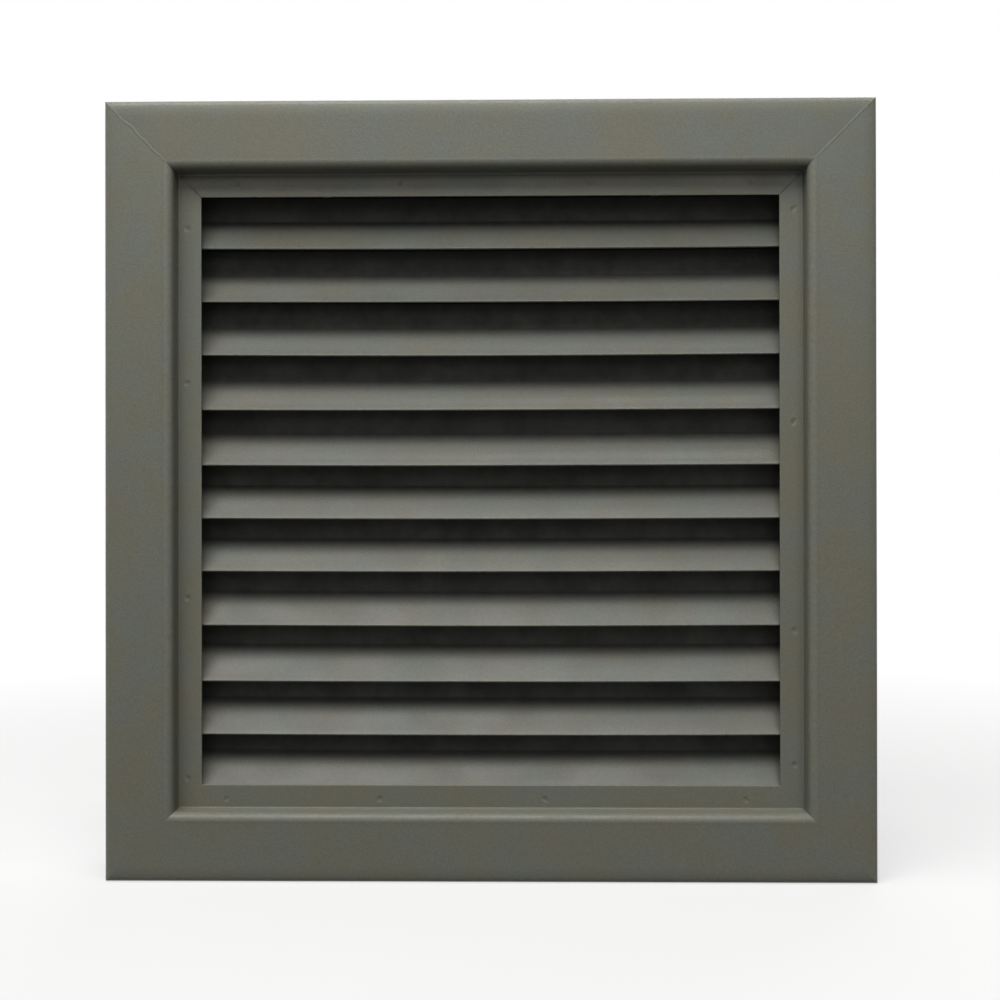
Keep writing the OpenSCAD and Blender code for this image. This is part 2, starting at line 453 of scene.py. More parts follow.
class Bench:
    """Places and links the nodes of one shader tree."""

    def __init__(self, tree: bpy.types.NodeTree) -> None:
        """Takes the tree that is worked on."""
        self.tree = tree
        self.count = 0

    def add(self, kind: str, **settings: object) -> bpy.types.Node:
        """Adds a node.

        Args:
            kind: Type of the node without the ShaderNode prefix, or GroupInput or GroupOutput.
            settings: Properties of the node.

        Returns:
            The new node.
        """
        prefix = "Node" if kind.startswith("Group") and kind != "Group" else "ShaderNode"
        node = self.tree.nodes.new(prefix + kind)
        for name, value in settings.items():
            setattr(node, name, value)
        node.location = (180 * (self.count % 8), -220 * (self.count // 8))
        self.count += 1
        return node

    def feed(self, node: bpy.types.Node, **inputs: object) -> bpy.types.Node:
        """Sets or links a node's inputs by their names, with an underscore for each space.

        Args:
            node: Node that is fed.
            inputs: Sockets to link, or values to set.

        Returns:
            The node itself.
        """
        for name, value in inputs.items():
            self.put(node.inputs[name.replace("_", " ")], value)
        return node

    def put(self, socket: bpy.types.NodeSocket, value: object) -> None:
        """Links a socket to another one, or sets its value.

        Args:
            socket: Input that is fed.
            value: Output to link to it, or the value to set.
        """
        if isinstance(value, bpy.types.NodeSocket):
            self.tree.links.new(value, socket)
        elif socket.type == "RGBA" and isinstance(value, tuple) and len(value) == 3:
            socket.default_value = (*value, 1.0)
        else:
            socket.default_value = value

    def noise(self, where: bpy.types.NodeSocket, scale: object, detail: float = 2.0) -> bpy.types.NodeSocket:
        """Adds a noise texture.

        Args:
            where: Coordinates of the noise.
            scale: Its scale.
            detail: Its detail.

        Returns:
            The noise's value.
        """
        node = self.add("TexNoise")
        self.feed(node, Vector=where, Scale=scale, Detail=detail)
        return node.outputs["Fac"]

    def math(self, operation: str, first: object, second: object = 0.0) -> bpy.types.NodeSocket:
        """Works on two numbers, and keeps the result of MULTIPLY between 0 and 1.

        Args:
            operation: Name of the operation.
            first: First number.
            second: Second number.

        Returns:
            The result.
        """
        node = self.add("Math", operation=operation, use_clamp=operation == "MULTIPLY")
        self.put(node.inputs[0], first)
        self.put(node.inputs[1], second)
        return node.outputs[0]

    def spread(
        self, value: object, low: object, high: object, to: tuple[float, float]
    ) -> bpy.types.NodeSocket:
        """Maps a number from a low and a high value smoothly onto a range.

        Args:
            value: Number that is mapped.
            low: Value that gives the start of the range.
            high: Value that gives the end of the range.
            to: Start and end of the range.

        Returns:
            The mapped number.
        """
        node = self.add("MapRange", interpolation_type="SMOOTHSTEP")
        self.put(node.inputs["Value"], value)
        self.put(node.inputs["From Min"], low)
        self.put(node.inputs["From Max"], high)
        self.put(node.inputs["To Min"], to[0])
        self.put(node.inputs["To Max"], to[1])
        return node.outputs["Result"]

    def blend(self, share: object, first: object, second: object, mode: str = "MIX") -> bpy.types.NodeSocket:
        """Mixes two colours.

        Args:
            share: Share of the second colour.
            first: First colour.
            second: Second colour.
            mode: Way in which they mix.

        Returns:
            The mixed colour.
        """
        node = self.add("Mix", data_type="RGBA", blend_type=mode)
        self.put(node.inputs["Factor"], share)
        self.put(node.inputs[6], first)
        self.put(node.inputs[7], second)
        return node.outputs[2]


def new_group(
    name: str, inputs: dict[str, tuple[str, object]], outputs: dict[str, str]
) -> tuple[bpy.types.NodeTree, Bench, bpy.types.Node, bpy.types.Node]:
    """Makes an empty node group with named sockets.

    Args:
        name: Name of the group.
        inputs: Socket type and default value of each input, by name; a default of None is left as it is.
        outputs: Socket type of each output, by name.

    Returns:
        The group, its bench, its input node and its output node.
    """
    tree = bpy.data.node_groups.new(name, "ShaderNodeTree")
    for title, (kind, default) in inputs.items():
        socket = tree.interface.new_socket(title, in_out="INPUT", socket_type=kind)
        if default is not None:
            socket.default_value = default
    for title, kind in outputs.items():
        tree.interface.new_socket(title, in_out="OUTPUT", socket_type=kind)
    bench = Bench(tree)
    return tree, bench, bench.add("GroupInput"), bench.add("GroupOutput")


VALUE = "NodeSocketFloat"
COLOUR = "NodeSocketColor"
VECTOR = "NodeSocketVector"


def mottle_group() -> bpy.types.NodeTree:
    """Cloudy variation of a coat's colour between a warm and a cool tint, with fine specks.

    Returns:
        The group.
    """
    tree, bench, given, made = new_group(
        "mottle",
        {"Place": (VECTOR, None), "Colour": (COLOUR, None), "Warm": (COLOUR, None), "Cool": (COLOUR, None),
         "Amount": (VALUE, 0.5), "Specks": (VALUE, 0.3)},
        {"Colour": COLOUR},
    )
    source = given.outputs
    cloud = bench.spread(bench.noise(source["Place"], 34.0, 3.0), 0.36, 0.64, (0.0, 1.0))
    tint = bench.blend(cloud, source["Warm"], source["Cool"])
    patch = bench.spread(bench.noise(source["Place"], 95.0, 2.0), 0.3, 0.7, (0.35, 1.0))
    share = bench.math("MULTIPLY", source["Amount"], patch)
    tinted = bench.blend(share, source["Colour"], tint)
    speck = bench.spread(bench.noise(source["Place"], 1500.0, 1.0), 0.35, 0.65, (0.86, 1.14))
    grey = bench.add("CombineColor")
    bench.feed(grey, Red=speck, Green=speck, Blue=speck)
    bench.put(made.inputs["Colour"], bench.blend(source["Specks"], tinted,
                                                 bench.blend(1.0, tinted, grey.outputs[0], "MULTIPLY")))
    return tree


def wear_and_highlight_group() -> bpy.types.NodeTree:
    """Lighter, thinner coat along crowns and cut edges, broken up by noise, which also paints a highlight
    along the bends.

    Returns:
        The group.
    """
    tree, bench, given, made = new_group(
        "edge wear and highlight",
        {"Place": (VECTOR, None), "Colour": (COLOUR, None), "Worn": (COLOUR, None), "Mask": (VALUE, 0.0),
         "Amount": (VALUE, 0.5)},
        {"Colour": COLOUR, "Worn Mask": VALUE},
    )
    source = given.outputs
    broken = bench.spread(bench.noise(source["Place"], 420.0, 4.0), 0.35, 0.7, (0.15, 1.0))
    worn = bench.math("MULTIPLY", bench.math("MULTIPLY", source["Mask"], broken), source["Amount"])
    bench.put(made.inputs["Colour"], bench.blend(worn, source["Colour"], source["Worn"]))
    bench.put(made.inputs["Worn Mask"], worn)
    return tree


def painted_shade_group() -> bpy.types.NodeTree:
    """Painted shade: near-black colour mixed in at the inner corners and deep between the blades, where
    shade falls.

    Returns:
        The group.
    """
    tree, bench, given, made = new_group(
        "grime",
        {"Place": (VECTOR, None), "Colour": (COLOUR, None), "Grime": (COLOUR, None), "Mask": (VALUE, 0.0),
         "Amount": (VALUE, 0.5)},
        {"Colour": COLOUR, "Grime Mask": VALUE},
    )
    source = given.outputs
    uneven = bench.spread(bench.noise(source["Place"], 160.0, 3.0), 0.25, 0.75, (0.9, 1.0))
    shade_share = bench.math("MULTIPLY", bench.math("MULTIPLY", source["Mask"], uneven), source["Amount"])
    bench.put(made.inputs["Colour"], bench.blend(shade_share, source["Colour"], source["Grime"]))
    bench.put(made.inputs["Grime Mask"], shade_share)
    return tree


def dust_group() -> bpy.types.NodeTree:
    """Thin pale dust that settles where a surface faces up.

    Returns:
        The group.
    """
    tree, bench, given, made = new_group(
        "settled dust",
        {"Place": (VECTOR, None), "Normal": (VECTOR, None), "Colour": (COLOUR, None), "Dust": (COLOUR, None),
         "Amount": (VALUE, 0.2)},
        {"Colour": COLOUR, "Dust Mask": VALUE},
    )
    source = given.outputs
    parts = bench.add("SeparateXYZ")
    bench.feed(parts, Vector=source["Normal"])
    upward = bench.spread(parts.outputs["Z"], 0.35, 1.0, (0.0, 1.0))
    patchy = bench.spread(bench.noise(source["Place"], 260.0, 4.0), 0.35, 0.7, (0.3, 1.0))
    dusty = bench.math("MULTIPLY", bench.math("MULTIPLY", upward, patchy), source["Amount"])
    bench.put(made.inputs["Colour"], bench.blend(dusty, source["Colour"], source["Dust"]))
    bench.put(made.inputs["Dust Mask"], dusty)
    return tree


def peel_group() -> bpy.types.NodeTree:
    """Orange peel of a sprayed coat: its height, and the roughness that goes with it.

    Returns:
        The group.
    """
    tree, bench, given, made = new_group(
        "orange peel",
        {"Place": (VECTOR, None), "Scale": (VALUE, 600.0), "Roughness": (VALUE, 0.4),
         "Dulling": (VALUE, 0.0)},
        {"Height": VALUE, "Roughness": VALUE},
    )
    source = given.outputs
    fine = bench.noise(source["Place"], source["Scale"], 2.0)
    broad = bench.noise(source["Place"], 45.0, 2.0)
    bench.put(made.inputs["Height"], bench.math("ADD", fine, bench.math("MULTIPLY", broad, 0.5)))
    drift = bench.spread(broad, 0.3, 0.7, (-0.05, 0.06))
    dull = bench.math("ADD", source["Roughness"], bench.math("ADD", drift, source["Dulling"]))
    bench.put(made.inputs["Roughness"], dull)
    return tree


def spot_group() -> bpy.types.NodeTree:
    """Round mask about one place on the louver, such as a chip in the coat.

    Returns:
        The group.
    """
    tree, bench, given, made = new_group(
        "spot",
        {"Place": (VECTOR, None), "Centre": (VECTOR, None), "Radius": (VALUE, 0.001)},
        {"Mask": VALUE},
    )
    source = given.outputs
    jitter = bench.math("MULTIPLY", bench.noise(source["Place"], 900.0, 2.0), 0.0009)
    away = bench.add("VectorMath", operation="DISTANCE")
    bench.put(away.inputs[0], source["Place"])
    bench.put(away.inputs[1], source["Centre"])
    reach = bench.math("ADD", away.outputs["Value"], jitter)
    inner = bench.math("MULTIPLY", source["Radius"], 0.6)
    bench.put(made.inputs["Mask"], bench.spread(reach, source["Radius"], inner, (0.0, 1.0)))
    return tree


class Effects:
    """The node groups that the finishes share, each made once."""

    def __init__(self) -> None:
        """Makes the groups."""
        self.mottle = mottle_group()
        self.wear_and_highlight = wear_and_highlight_group()
        self.grime = painted_shade_group()
        self.dust = dust_group()
        self.peel = peel_group()
        self.spot = spot_group()

    def place(self, bench: Bench, effect: bpy.types.NodeTree, **inputs: object) -> bpy.types.Node:
        """Places one of the groups in a material and feeds it.

        Args:
            bench: Bench of the material.
            effect: Group that is placed.
            inputs: Its inputs by name.

        Returns:
            The group node.
        """
        node = bench.add("Group", node_tree=effect)
        return bench.feed(node, **inputs)


# Finishes


@dataclass(frozen=True)
class Chip:
    """Small mark in a coat."""

    centre: tuple[float, float, float]
    radius: float
    colour: Colour


@dataclass(frozen=True)
class Enamel:
    """Baked satin enamel of one group of pieces."""

    name: str
    slot: str
    base: Colour = (0.145, 0.146, 0.113)
    warm: Colour = (0.158, 0.142, 0.1)
    cool: Colour = (0.133, 0.154, 0.137)
    worn: Colour = (0.2, 0.2, 0.17)
    # The near-black colour below and its share paint shade into inner corners and deep places.
    grime: Colour = (0.008, 0.008, 0.007)
    dust: Colour = (0.3, 0.29, 0.25)
    mottle: float = 0.55
    specks: float = 0.6
    wear_and_highlight: float = 0.35
    painted_shade_amount: float = 0.15
    dusting: float = 0.12
    roughness: float = 0.4
    peel_scale: float = 700.0
    peel_height: float = 0.05 * MM
    gloss: float = 0.28
    chips: tuple[Chip, ...] = ()

    def make(self, effects: Effects) -> bpy.types.Material:
        """Builds the material.

        Args:
            effects: The shared node groups.

        Returns:
            The material.
        """
        material = bpy.data.materials.new(self.name)
        material.use_nodes = True
        bench = Bench(material.node_tree)
        shader = material.node_tree.nodes["Principled BSDF"]
        place = bench.add("TexCoord").outputs["Object"]
        normal = bench.add("NewGeometry").outputs["Normal"]
        crown = bench.add("Attribute", attribute_name=CROWN).outputs["Fac"]
        nook = bench.add("Attribute", attribute_name=NOOK).outputs["Fac"]
        tinted = effects.place(bench, effects.mottle, Place=place, Colour=self.base, Warm=self.warm,
                               Cool=self.cool, Amount=self.mottle, Specks=self.specks)
        # Wear and painted highlight along crowns and cut edges.
        edged = effects.place(bench, effects.wear_and_highlight, Place=place, Colour=tinted.outputs["Colour"],
                              Worn=self.worn, Mask=crown, Amount=self.wear_and_highlight)
        dusted = effects.place(bench, effects.dust, Place=place, Normal=normal,
                               Colour=edged.outputs["Colour"], Dust=self.dust, Amount=self.dusting)
        # Painted shade: the nook mask darkens inner corners and the deep parts of the blades.
        shade_share = effects.place(bench, effects.grime, Place=place, Colour=dusted.outputs["Colour"],
                              Grime=self.grime, Mask=nook, Amount=self.painted_shade_amount)
        colour = shade_share.outputs["Colour"]
        for chip in self.chips:
            mark = effects.place(bench, effects.spot, Place=place, Centre=chip.centre, Radius=chip.radius)
            colour = bench.blend(mark.outputs["Mask"], colour, chip.colour)
        dull = bench.math("ADD", bench.math("MULTIPLY", dusted.outputs["Dust Mask"], 0.5),
                          bench.math("MULTIPLY", shade_share.outputs["Grime Mask"], 0.3))
        coat = effects.place(bench, effects.peel, Place=place, Scale=self.peel_scale,
                             Roughness=self.roughness, Dulling=dull)
        bump = bench.feed(bench.add("Bump"), Strength=1.0, Distance=self.peel_height,
                          Height=coat.outputs["Height"])
        bench.put(shader.inputs["Base Color"], colour)
        bench.put(shader.inputs["Roughness"], coat.outputs["Roughness"])
        bench.put(shader.inputs["Normal"], bump.outputs["Normal"])
        shader.inputs["Specular IOR Level"].default_value = self.gloss
        return material


@dataclass(frozen=True)
class PlatedSteel:
    """Zinc-plated steel of the screws, dulled and a little yellow."""

    name: str = "zinc_plated_steel"
    slot: str = "screw_zinc"
    base: Colour = (0.56, 0.56, 0.54)
    warm: Colour = (0.6, 0.55, 0.42)
    cool: Colour = (0.5, 0.54, 0.58)
    worn: Colour = (0.8, 0.8, 0.79)
    grime: Colour = (0.05, 0.045, 0.04)
    roughness: float = 0.34
    peel_scale: float = 2600.0
    peel_height: float = 0.02 * MM

    def make(self, effects: Effects) -> bpy.types.Material:
        """Builds the material.

        Args:
            effects: The shared node groups.

        Returns:
            The material.
        """
        material = bpy.data.materials.new(self.name)
        material.use_nodes = True
        bench = Bench(material.node_tree)
        shader = material.node_tree.nodes["Principled BSDF"]
        place = bench.add("TexCoord").outputs["Object"]
        crown = bench.add("Attribute", attribute_name=CROWN).outputs["Fac"]
        nook = bench.add("Attribute", attribute_name=NOOK).outputs["Fac"]
        tinted = effects.place(bench, effects.mottle, Place=place, Colour=self.base, Warm=self.warm,
                               Cool=self.cool, Amount=0.6, Specks=0.5)
        edged = effects.place(bench, effects.wear_and_highlight, Place=place, Colour=tinted.outputs["Colour"],
                              Worn=self.worn, Mask=crown, Amount=0.6)
        # Painted shade where the head sits on the trim.
        shade_share = effects.place(bench, effects.grime, Place=place, Colour=edged.outputs["Colour"],
                              Grime=self.grime, Mask=nook, Amount=0.8)
        coat = effects.place(bench, effects.peel, Place=place, Scale=self.peel_scale,
                             Roughness=self.roughness,
                             Dulling=bench.math("MULTIPLY", shade_share.outputs["Grime Mask"], 0.4))
        bump = bench.feed(bench.add("Bump"), Strength=1.0, Distance=self.peel_height,
                          Height=coat.outputs["Height"])
        bench.put(shader.inputs["Base Color"], shade_share.outputs["Colour"])
        bench.put(shader.inputs["Roughness"], coat.outputs["Roughness"])
        bench.put(shader.inputs["Normal"], bump.outputs["Normal"])
        shader.inputs["Metallic"].default_value = 1.0
        return material


def dress(piece: bpy.types.Object, material: bpy.types.Material, slot: str, *nodes: str) -> None:
    """Gives a piece its finish and its place on the body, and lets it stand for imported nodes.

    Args:
        piece: Piece that is dressed.
        material: Its material.
        slot: Name of the record's material slot; not used.
        nodes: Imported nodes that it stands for.
    """
    piece.data.materials.clear()
    piece.data.materials.append(material)
    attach(piece, BODY)
    if nodes:
        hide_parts(*nodes)
    LOG.info("%s: %d faces, %s", piece.name, len(piece.data.polygons), material.name)


# Sub-assemblies


@dataclass(frozen=True)
class TrimFrame:
    """Mitred frame of four bent members on one face of the door."""

    face: Face
    enamel: Enamel
    sheet: float = 1.2 * MM
    rise: float = 4.0 * MM
    rim_radius: float = 3.2 * MM
    nose_radius: float = 3.6 * MM
    recess: float = 11.0 * MM
    lip_radius: float = 1.0 * MM
    crown_angle: float = 9.0
    crown_radius: float = 30.0 * MM
    roll_angle: float = 4.0
    roll_radius: float = 14.0 * MM
    edge_round: float = 0.25 * MM
    lip_step: float = 0.42 * MM
    flange_step: float = 2.1 * MM
    station_step: float = 7.0 * MM
    unevenness: float = 0.08 * MM
    weld_dish: float = 0.14 * MM
    weld_dish_reach: float = 5.0 * MM
    lip_seam: float = 0.2 * MM
    spot_radius: float = 1.7 * MM
    spot_depth: float = 0.3 * MM
    spot_rim: float = 0.09 * MM
    spot_inset: float = 4.4 * MM
    spot_seed: int = 20
    spots: dict[Side, tuple[float, ...]] = field(default_factory=dict)
    screwed: bool = False

    def path(self, rim: float, flat: float, wall: float) -> SheetPen:
        """Draws the section: depth behind the face, and distance outwards from the recess wall.

        Args:
            rim: Length of the flat stretch at the outer edge.
            flat: Length of the flange's flat stretch.
            wall: Length of the recess wall's flat stretch.

        Returns:
            The pen at the lip's edge.
        """
        pen = SheetPen((self.rise, OPENING.flange - self.sheet / 2), 180, self.sheet)
        pen.run(rim, self.rise)
        pen.turn(90 - self.crown_angle, self.rim_radius - self.sheet)
        pen.turn(self.crown_angle, self.crown_radius)
        pen.run(flat, self.flange_step)
        pen.turn(-self.roll_angle, self.roll_radius)
        pen.turn(90 + self.roll_angle, self.nose_radius - self.sheet)
        pen.run(wall, self.flange_step)
        pen.turn(-90, self.lip_radius)
        return pen.run(OPENING.trim_lip - self.lip_radius, self.lip_step)

    def strip(self) -> Strip:
        """Section from the outer edge to the lip, with its flat stretches as long as the sizes leave them.

        Returns:
            The section.
        """
        trial = self.path(0, 0, 0)
        end_depth, end_out = trial.points[-1]
        rim = min(point[0] for point in trial.points) - self.sheet / 2
        wall = self.recess + self.sheet / 2 - (end_depth - rim)
        return self.path(rim, end_out + OPENING.trim_lip, wall).strip(self.edge_round)

    def spot_places(self, side: Side) -> list[float]:
        """Places of the spot welds along the member on one side."""
        return [share * OPENING.span(side) for share in self.spots.get(side, ())]

    def stations(self, side: Side) -> np.ndarray:
        """Stations along a member, closer together at its spot welds.

        Args:
            side: Side that the member closes.

        Returns:
            Shares of half the member's length, from -1 to 1.
        """
        half = OPENING.span(side) / 2
        even = np.linspace(-1, 1, 2 * round(half / self.station_step) + 1)
        shares = [even]
        reach = 1.5 * self.spot_radius
        near = np.arange(-reach, reach + self.lip_step / 2, self.lip_step * 0.8)
        for place in self.spot_places(side):
            shares.append((place + near) / (half - self.spot_inset))
        joined = np.unique(np.concatenate(shares))
        apart = np.concatenate([[True], np.diff(joined) * half > self.lip_step / 2])
        apart[-1] = True
        return np.clip(joined[apart], -1, 1)

    def face_depth(self, out: np.ndarray) -> np.ndarray:
        """Depth of the flange's visible face, its two bends included.

        Args:
            out: Distances outwards from the recess wall.

        Returns:
            The depth behind the foremost plane at each distance.
        """
        strip = self.strip()
        face = strip.middle - strip.normal * strip.half[:, None]
        flange = face[face[:, 0] <= self.nose_radius]
        order = np.argsort(flange[:, 1])
        return np.interp(out, flange[order, 1], flange[order, 0])

    def spot_relief(self, along: np.ndarray, out: np.ndarray, side: Side) -> np.ndarray:
        """Uneven dimples of the spot welds over the lip, each with a small raised fleck beside it.

        Args:
            along: Distances from the member's middle.
            out: Distances outwards from the recess wall.
            side: Side that the member closes.

        Returns:
            The depth of the relief at each point.
        """
        draw = np.random.default_rng(self.spot_seed + list(Side).index(side))
        depth = np.zeros(np.broadcast(along, out).shape)
        for place in self.spot_places(side):
            stretch, lean, fleck = draw.uniform((0.75, -0.5, 0.6), (1.1, 0.5, 1.3))
            across, beside = out + self.spot_inset, along - place
            away = np.hypot(beside * stretch + across * lean, across) / self.spot_radius
            depth = depth + self.spot_depth * np.clip(1 - away**2, 0, 1) ** 1.5
            bump = np.hypot(beside - 0.9 * self.spot_radius, across * fleck) / (0.55 * self.spot_radius)
            depth = depth - self.spot_rim * np.exp(-(bump**2))
        return depth

    def settle(self, side: Side, along: np.ndarray, out: np.ndarray) -> np.ndarray:
        """How far the sheet lies back: its unevenness, and the shallow dish along a welded mitre.

        Args:
            side: Side that the member closes.
            along: Distances from the member's middle.
            out: Distances outwards from the recess wall.

        Returns:
            The added depth at each point, never less than nothing.
        """
        back = self.unevenness * (1 + self.wave(side, along, out))
        if self.face is Face.REAR:
            return back
        where = OPENING.point(side, along, out, np.zeros(1))
        to_mitre = (where[..., 2] - OPENING.height / 2) - (np.abs(where[..., 0]) - OPENING.width / 2)
        dish = np.exp(-((to_mitre / self.weld_dish_reach) ** 2))
        return back + self.weld_dish * dish * (where[..., 2] > 0)

    def placer(self, side: Side) -> Placer:
        """Gives the rule that places a member's section.

        Args:
            side: Side that the member closes.

        Returns:
            The rule for sweep().
        """
        half = OPENING.span(side) / 2
        seamed = self.face is Face.FRONT and side is not Side.SILL

        def place(share: np.ndarray, depth: np.ndarray, out: np.ndarray) -> np.ndarray:
            """Places points of the member, its lips open along the two upper mitres.

            Args:
                share: Stations along the member, from -1 to 1.
                depth: Depths behind the foremost plane.
                out: Distances outwards from the recess wall.

            Returns:
                The points.
            """
            on_lip = out < -self.lip_radius
            upper = (share > 0) | (side is Side.HEAD)
            seam = self.lip_seam * (on_lip & upper & seamed) * np.abs(share) ** 40
            along = share * (half + out - seam)
            back = self.settle(side, along, out) * np.clip(1 - depth / self.recess, 0, 1)
            dented = on_lip & (depth < self.recess + self.sheet / 2)
            deep = depth + back + np.where(dented, self.spot_relief(along, out, side), 0.0)
            return OPENING.point(side, along, out, self.face.value * (OPENING.face - deep))

        return place

    def wave(self, side: Side, along: np.ndarray, out: np.ndarray) -> np.ndarray:
        """Unevenness of the sheet at a point of a member, from -1 to 1."""
        where = OPENING.point(side, along, out, np.zeros(1))
        return ripple(where[..., 0], where[..., 2], 3 - self.face.value, 60 * MM)

    def node(self, side: Side) -> str:
        """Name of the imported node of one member."""
        return f"{self.face.name.lower()}_trim_{side.value}"

    def drill(self, piece: bpy.types.Object, side: Side) -> None:
        """Cuts the screw holes into a member's lip."""
        middle = self.face.value * (OPENING.face - self.recess - self.sheet / 2)
        drill_holes(piece, side, middle, 6 * self.sheet, SCREWS.hole)

    def build(self, material: bpy.types.Material) -> None:
        """Builds the four members and dresses them.

        Args:
            material: Their enamel.
        """
        strip = self.strip()
        for side in Side:
            name = self.node(side)
            piece = sweep(f"{name}_sheet", strip, self.stations(side), self.placer(side))
            if self.screwed:
                self.drill(piece, side)
            dress(piece, material, self.enamel.slot, name)


def drill_holes(piece: bpy.types.Object, side: Side, middle: float, depth: float, bore: float) -> None:
    """Cuts the screw holes of one side into a piece.

    Args:
        piece: Piece that is drilled.
        side: Side that the piece closes.
        middle: Place along Y of the drilled sheet.
        depth: Length of the drill.
        bore: Diameter of the holes.
    """
    cutters = []
    for number, along in enumerate(SCREWS.places(side)):
        half, radius = depth / 2, bore / 2
        cutter = lathe(f"drill_{number}", [(0, -half), (radius, -half), (radius, half), (0, half)], 40)
        where = OPENING.point(side, np.array(along), np.array(-SCREWS.inset), np.array(middle))
        cutter.location = where.tolist()
        cutter.rotation_euler = (math.pi / 2, 0, 0)
        cutters.append(cutter)
    cut_away(piece, cutters)


@dataclass(frozen=True)
class MitreWeld:
    """Low, hand-dressed ridge of weld along a top mitre of the front trim."""

    side: Side
    wander: float
    width: float
    height: float = 0.1 * MM
    sink: float = 0.25 * MM
    least_depth: float = 0.01 * MM
    seed: int = 5
    outer_end: float = 30.4 * MM
    inner_end: float = 0.9 * MM
    step: float = 0.45 * MM
    across: int = 9

    def build(self, trim: TrimFrame, material: bpy.types.Material) -> None:
        """Builds the ridge on the trim's face and dresses it.

        Args:
            trim: Trim that carries the ridge.
            material: Its enamel.
        """
        draw = np.random.default_rng(self.seed)
        count = round((self.outer_end - self.inner_end) / self.step)
        out = np.linspace(self.outer_end, self.inner_end, count)
        knots = np.linspace(0, count - 1, 9)
        sway = np.interp(np.arange(count), knots, draw.uniform(-1, 1, 9)) * self.wander
        kernel = np.hanning(9) / np.hanning(9).sum()
        sway = np.convolve(sway, kernel, mode="same")
        taper = np.sin(np.linspace(0.02, math.pi - 0.02, count)) ** 0.35
        width = np.convolve(draw.uniform(-1, 1, count), kernel, mode="same")
        width = self.width * taper * (1 + 0.3 * width)
        height = np.convolve(draw.uniform(-1, 1, count), kernel, mode="same")
        height = self.height * taper * (1 + 0.5 * height)
        way = 1 if self.side is Side.RIGHT else -1
        share = np.linspace(-1, 1, self.across)[None, :]
        shift = sway[:, None] + share * width[:, None] / 2
        level = out[:, None] - shift * math.sqrt(0.5)
        place_out = out[:, None] + shift * math.sqrt(0.5)
        sheet = trim.face_depth(np.maximum(place_out, level))
        sheet = sheet + trim.settle(Side.HEAD, way * (OPENING.width / 2 + place_out), level)
        top = np.maximum(sheet - height[:, None] * (1 - share**2), self.least_depth)
        x = way * (OPENING.width / 2 + place_out)
        z = OPENING.height / 2 + level
        skins = [np.stack([x, -(OPENING.face - depth), z], axis=-1).reshape(-1, 3)
                 for depth in (top, sheet + self.sink)]
        last, size = self.across - 1, count * self.across
        quads = [
            (row * self.across + k, row * self.across + k + 1, (row + 1) * self.across + k + 1,
             (row + 1) * self.across + k)
            for row in range(count - 1) for k in range(last)
        ]
        faces = quads + [tuple(corner + size for corner in quad) for quad in quads]
        for row in range(count - 1):
            for k in (0, last):
                here, ahead = row * self.across + k, (row + 1) * self.across + k
                faces.append((here, ahead, ahead + size, here + size))
        for row in (0, count - 1):
            for k in range(last):
                here = row * self.across + k
                faces.append((here, here + 1, here + 1 + size, here + size))
        mesh = bpy.data.meshes.new("mitre_weld")
        mesh.from_pydata(np.concatenate(skins).tolist(), [], faces)
        # Wear and painted highlight along the ridge's crest.
        crown = (1 - share**2) * taper[:, None] * np.ones((count, 1))
        set_mask(mesh, CROWN, np.tile(crown.ravel(), 2))
        set_mask(mesh, NOOK, np.zeros(2 * size))
        dress(finish_mesh(f"mitre_weld_{self.side.value}", mesh), material, trim.enamel.slot)


@dataclass(frozen=True)
class Core:
    """Four channels between the trims that carry the blades."""

    enamel: Enamel
    sheet: float = 1.2 * MM
    bend_radius: float = 1.0 * MM
    edge_round: float = 0.2 * MM
    step: float = 2.4 * MM
    station_step: float = 8.0 * MM

    def strip(self, half_depth: float, flange: float) -> Strip:
        """Section of a channel: place along Y, and distance outwards from the recess wall.

        Args:
            half_depth: Distance of the flanges' outer faces from the middle of the door.
            flange: Width of the flanges.

        Returns:
            The section.
        """
        pen = SheetPen((half_depth - self.sheet / 2, -flange), 90, self.sheet)
        pen.run(flange - self.bend_radius, self.step)
        pen.turn(90, self.bend_radius)
        pen.run(2 * (half_depth - self.sheet - self.bend_radius), self.step)
        pen.turn(90, self.bend_radius)
        pen.run(flange - self.bend_radius, self.step)
        return pen.strip(self.edge_round)

    def build(self, material: bpy.types.Material) -> None:
        """Builds the four channels and dresses them.

        Args:
            material: Their enamel.
        """
        low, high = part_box("core_right")
        strip = self.strip(high.y, OPENING.width / 2 - low.x)
        for side in Side:
            half = OPENING.span(side) / 2
            stations = np.linspace(-1, 1, 2 * round(half / self.station_step) + 1)

            def place(share: np.ndarray, through: np.ndarray, out: np.ndarray, side: Side = side,
                      half: float = half) -> np.ndarray:
                """Places points of one channel."""
                return OPENING.point(side, share * (half + out), out, through)

            name = f"core_{side.value}"
            piece = sweep(f"{name}_channel", strip, stations, place)
            drill_holes(piece, side, high.y - self.sheet / 2, 4 * self.sheet, SCREWS.thread_hole)
            dress(piece, material, self.enamel.slot, name)


